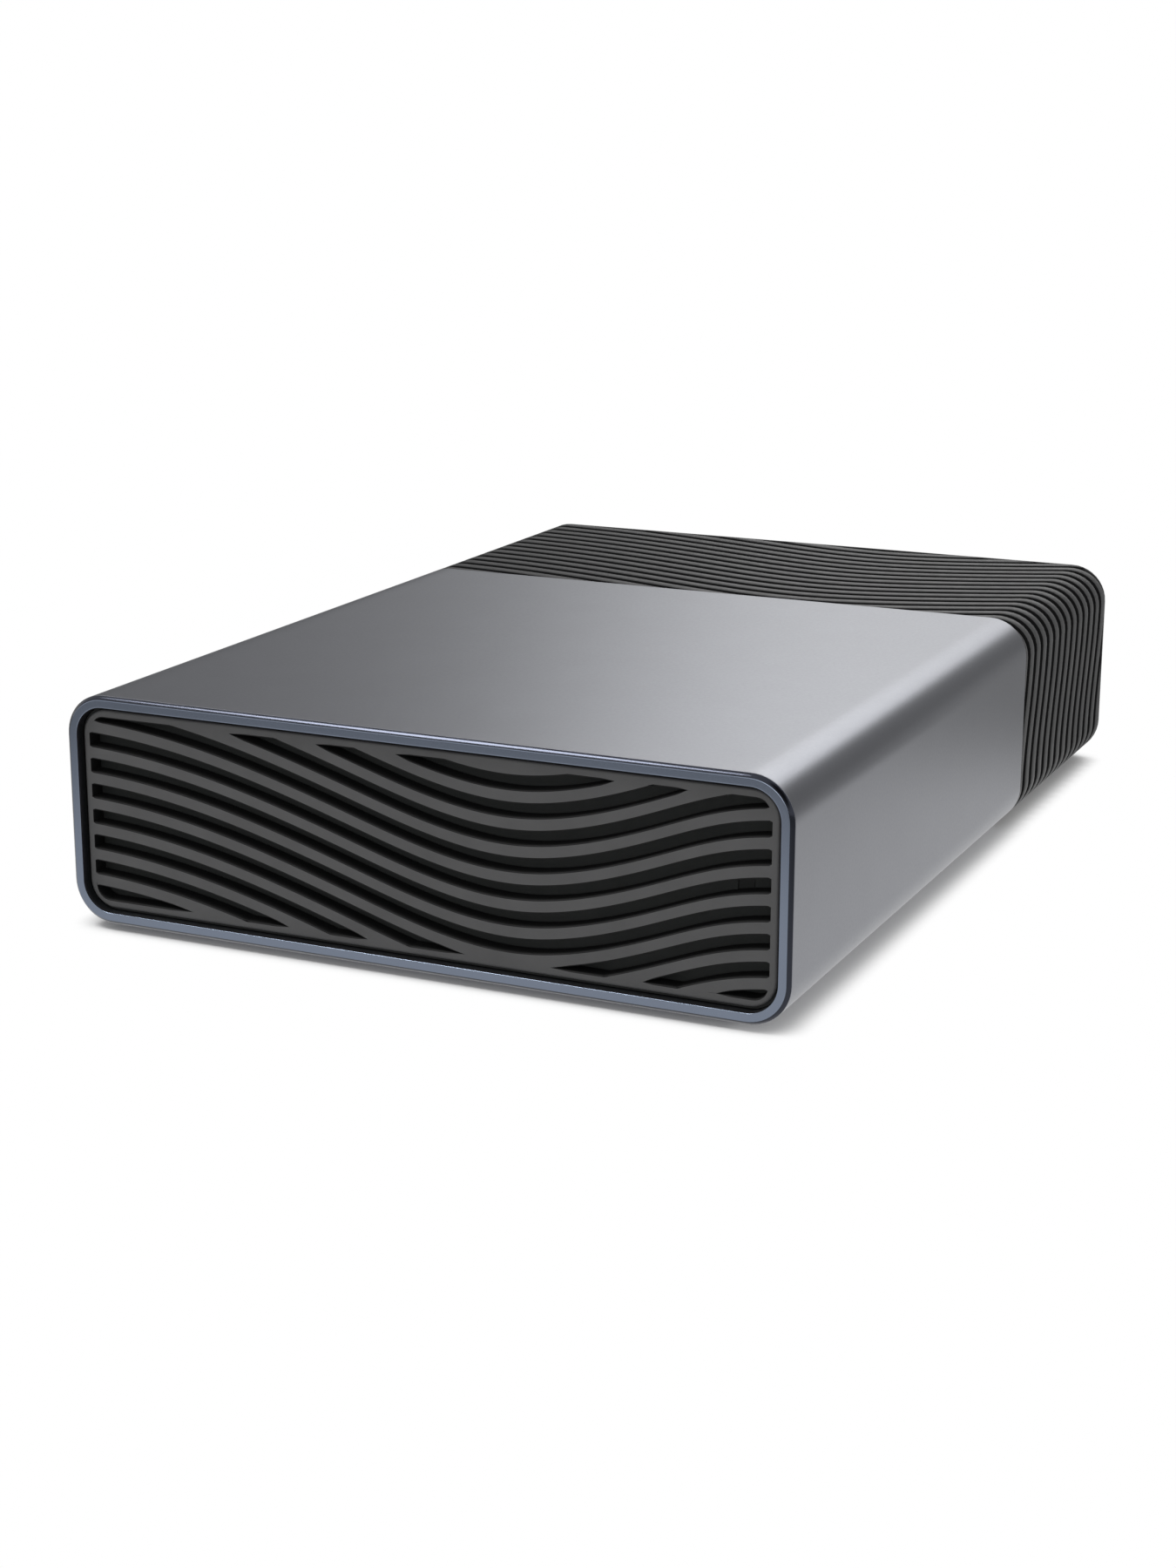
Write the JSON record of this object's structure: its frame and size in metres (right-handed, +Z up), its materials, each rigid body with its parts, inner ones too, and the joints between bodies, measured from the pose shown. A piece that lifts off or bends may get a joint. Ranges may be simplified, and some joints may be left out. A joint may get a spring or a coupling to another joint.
{
  "type": "external hard drive",
  "caption": "Desktop external hard drive: metal sleeve between a wavy front grille and a ribbed rear cap, with its disk mechanism inside.",
  "frame": {"origin": "middle of the footprint, on the surface that the feet stand on", "axes": "+Z up, +Y from the front grille to the rear cap, +X to the right seen from the front"},
  "size_m": [0.122, 0.174, 0.0384],
  "materials": {
    "anodised_sleeve": "bead-blasted space-grey anodising with a bright cut chamfer",
    "grille_plastic": "fine satin moulding, dark grey",
    "cap_plastic": "satin moulded ribs, near black",
    "frame_plastic": "matt black",
    "chassis_plastic": "matt black moulding",
    "foot_rubber": "soft matt rubber",
    "grommet_rubber": "soft matt rubber",
    "screw_steel": "zinc-plated steel",
    "board_green": "solder mask over glass-fibre board",
    "chip_black": "moulded epoxy",
    "port_black": "moulded nylon",
    "port_steel": "plated shell",
    "lamp_clear": "clear moulded light guide",
    "lamp_white": "white lamp body",
    "cast_aluminium": "die-cast, coated",
    "cover_steel": "pressed steel",
    "gasket_foam": "foam gasket",
    "disk_mirror": "polished, plated disk",
    "machined_aluminium": "machined",
    "copper_winding": "enamelled copper wire",
    "bearing_bronze": "sintered bronze",
    "magnet_nickel": "nickel-plated magnet",
    "lamination_steel": "stamped laminations",
    "ramp_plastic": "natural low-friction plastic",
    "flex_polyimide": "amber film",
    "filter_felt": "white filter felt"
  },
  "bodies": {
    "case": {"sleeve": "anodised_sleeve", "front_grille": "grille_plastic", "front_frame": "frame_plastic", "rear_cap": "cap_plastic", "chassis": "chassis_plastic", "rubber_feet": "foot_rubber", "case_screws": "screw_steel", "drive_grommets": "grommet_rubber", "shoulder_screws": "screw_steel", "bridge_board": "board_green", "board_screws": "screw_steel", "usb_shell": "port_steel", "usb_tongue": "port_black", "dc_jack": "port_black", "dc_jack_pin": "port_steel", "sata_plug": "port_black", "sata_socket": "port_black", "bridge_chips": "chip_black", "power_inductors": "chip_black", "capacitors": "machined_aluminium", "activity_led": "lamp_white", "light_pipe": "lamp_clear", "drive_base": "cast_aluminium", "cover_gasket": "gasket_foam", "drive_cover": "cover_steel", "cover_screws": "screw_steel", "drive_pcb": "board_green", "pcb_chips": "chip_black", "pcb_screws": "screw_steel", "spindle_bearing": "bearing_bronze", "spindle_stator": "lamination_steel", "stator_windings": "copper_winding", "pivot_shaft": "port_steel", "vcm_bottom_plate": "lamination_steel", "vcm_top_plate": "lamination_steel", "vcm_magnets": "magnet_nickel", "vcm_posts": "screw_steel", "crash_stops": "gasket_foam", "load_ramp": "ramp_plastic", "flex_cable": "flex_polyimide", "flex_bracket": "ramp_plastic", "recirculation_filter": "filter_felt", "breather_filter": "filter_felt"},
    "spindle_rotor": {"spindle_hub": "machined_aluminium", "rotor_magnet": "magnet_nickel", "spindle_shaft": "port_steel", "platters": "disk_mirror", "disk_spacers": "machined_aluminium", "disk_clamp": "machined_aluminium", "clamp_screws": "screw_steel"},
    "actuator": {"actuator_arm": "machined_aluminium", "suspensions": "port_steel", "heads": "chip_black", "coil_bobbin": "ramp_plastic", "voice_coil": "copper_winding", "pivot_sleeve": "port_steel", "pivot_bearings": "port_steel"},
    "latch": {"actuator_latch": "ramp_plastic"}
  },
  "joints": [
    {"name": "spindle_spin", "type": "hinge", "parent": "case", "child": "spindle_rotor", "pos_m": [0, -0.0288, 0.02], "axis": [0, 0, 1], "continuous": true},
    {"name": "actuator_swing", "type": "hinge", "parent": "case", "child": "actuator", "pos_m": [-0.0119, 0.0283, 0.02], "axis": [0, 0, -1], "range_deg": [0, 33.7]},
    {"name": "latch_tilt", "type": "hinge", "parent": "case", "child": "latch", "pos_m": [-0.03798, 0.02131, 0.022], "axis": [0, 0, 1], "range_deg": [-6, 6]}
  ]
}
